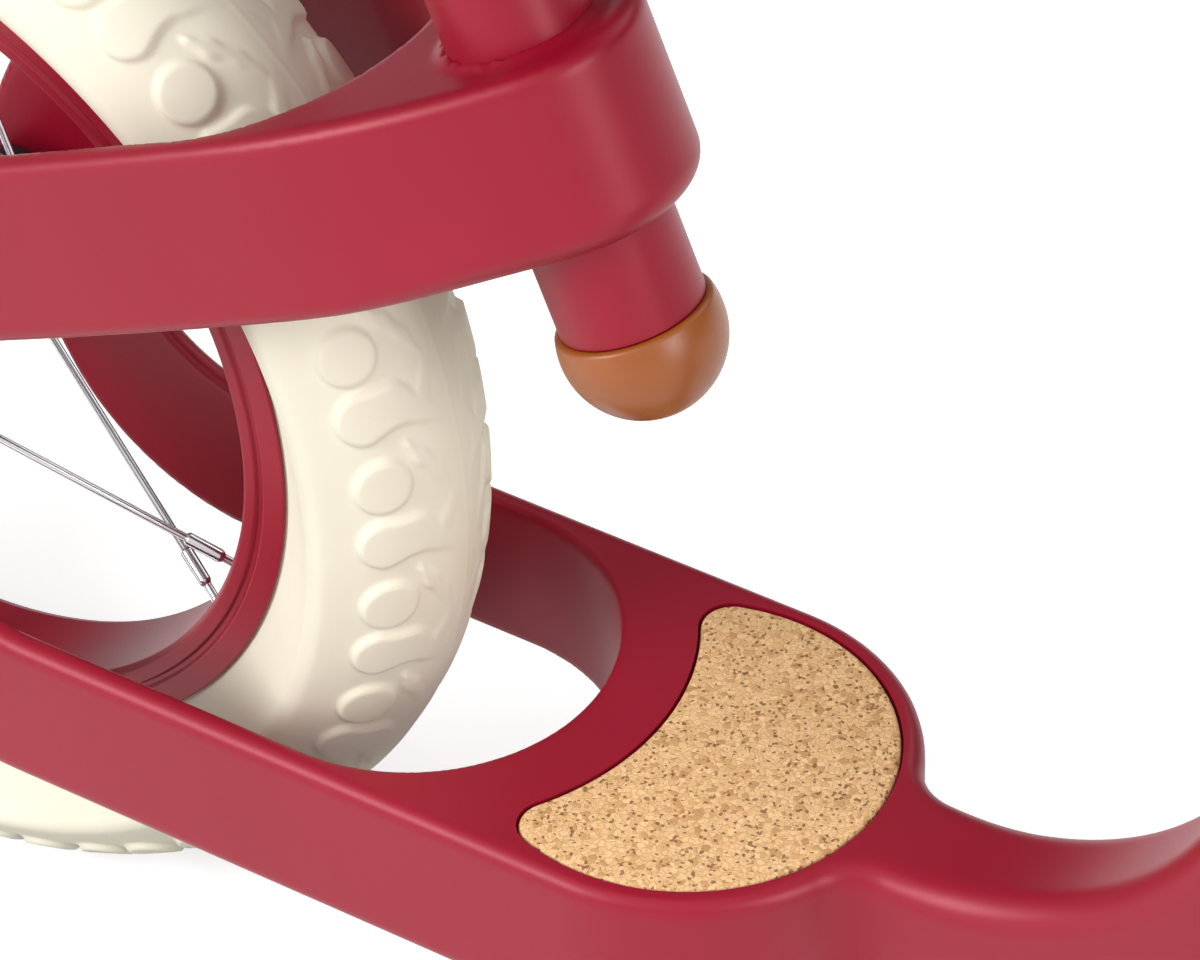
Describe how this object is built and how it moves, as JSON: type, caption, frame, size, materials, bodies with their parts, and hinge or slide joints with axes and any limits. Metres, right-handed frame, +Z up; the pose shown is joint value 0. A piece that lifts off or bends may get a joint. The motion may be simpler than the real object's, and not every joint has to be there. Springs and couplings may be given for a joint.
{
  "type": "balance bike",
  "caption": "Children's balance bike with a cast ribbon frame, cork footrest pad, spoked wheels, height-adjustable saddle and steering fork.",
  "frame": {"origin": "on the ground, midway between the two axles, in the bike's middle plane", "axes": "+X forward, +Y to the rider's left, +Z up"},
  "size_m": [0.88, 0.3926, 0.5169],
  "materials": {
    "crimson_paint": "satin pearl paint",
    "crimson_rim": "satin paint",
    "cream_tyre": "matt moulded rubber",
    "black_rubber": "matt",
    "cork": "pressed cork granules",
    "caramel_rubber": "satin moulded",
    "caramel_leather": "fine grain",
    "black_plastic": "matt",
    "black_metal": "satin black",
    "alloy": "machined",
    "steel": "polished"
  },
  "bodies": {
    "frame_body": {"frame": "crimson_paint", "footrest_pad": "cork", "seat_tube": "crimson_paint", "seat_tube_end_cap": "caramel_rubber", "seat_collar": "black_metal", "collar_bolt": "steel", "collar_nut": "steel", "lever_pin": "steel", "headset_lower_cup": "black_plastic", "headset_upper_cup": "black_plastic", "headset_lower_bearing": "steel", "headset_upper_bearing": "steel", "rear_axle": "steel", "rear_spacers": "black_plastic", "rear_axle_bolts": "steel", "rear_washers": "steel"},
    "rear_wheel": {"rear_tyre": "cream_tyre", "rear_inner_tube": "black_rubber", "rear_rim": "crimson_rim", "rear_spokes": "steel", "rear_nipples": "steel", "rear_hub": "alloy", "rear_bearings": "steel", "rear_valve_cap": "black_plastic"},
    "steering": {"fork": "crimson_paint", "steerer_tube": "alloy", "crown_race": "alloy", "headset_cover": "black_plastic", "steerer_spacer": "alloy", "stem": "black_metal", "stem_bolts": "steel", "stem_faceplate": "black_metal", "top_cap": "black_metal", "top_cap_bolt": "steel", "handlebar": "black_metal", "left_grip": "caramel_rubber", "right_grip": "caramel_rubber", "front_axle": "steel", "front_spacers": "black_plastic", "front_axle_bolts": "steel", "front_washers": "steel"},
    "front_wheel": {"front_tyre": "cream_tyre", "front_inner_tube": "black_rubber", "front_rim": "crimson_rim", "front_spokes": "steel", "front_nipples": "steel", "front_hub": "alloy", "front_bearings": "steel", "front_valve_cap": "black_plastic"},
    "seat": {"seat_post": "black_metal", "saddle_base": "black_plastic", "saddle_cushion": "caramel_leather", "saddle_clamp": "black_plastic", "saddle_bolt": "steel"},
    "clamp_lever": {"quick_release_lever": "black_metal"}
  },
  "joints": [
    {"name": "rear_wheel_spin", "type": "hinge", "parent": "frame_body", "child": "rear_wheel", "pos_m": [-0.29, 0, 0.15], "axis": [0, 1, 0], "continuous": true},
    {"name": "steering_turn", "type": "hinge", "parent": "frame_body", "child": "steering", "pos_m": [0.263, 0, 0.15], "axis": [-0.342, 0, 0.9397], "range_deg": [-60, 60]},
    {"name": "front_wheel_spin", "type": "hinge", "parent": "steering", "child": "front_wheel", "pos_m": [0.29, 0, 0.15], "axis": [0, 1, 0], "continuous": true},
    {"name": "seat_height", "type": "slide", "parent": "frame_body", "child": "seat", "axis": [-0.3706, 0, 0.9288], "range_m": [0, 0.05]},
    {"name": "clamp_lever_turn", "type": "hinge", "parent": "frame_body", "child": "clamp_lever", "pos_m": [-0.1594, 0.01655, 0.31084], "axis": [-0.3706, 0, 0.9288], "range_deg": [0, 110]}
  ]
}
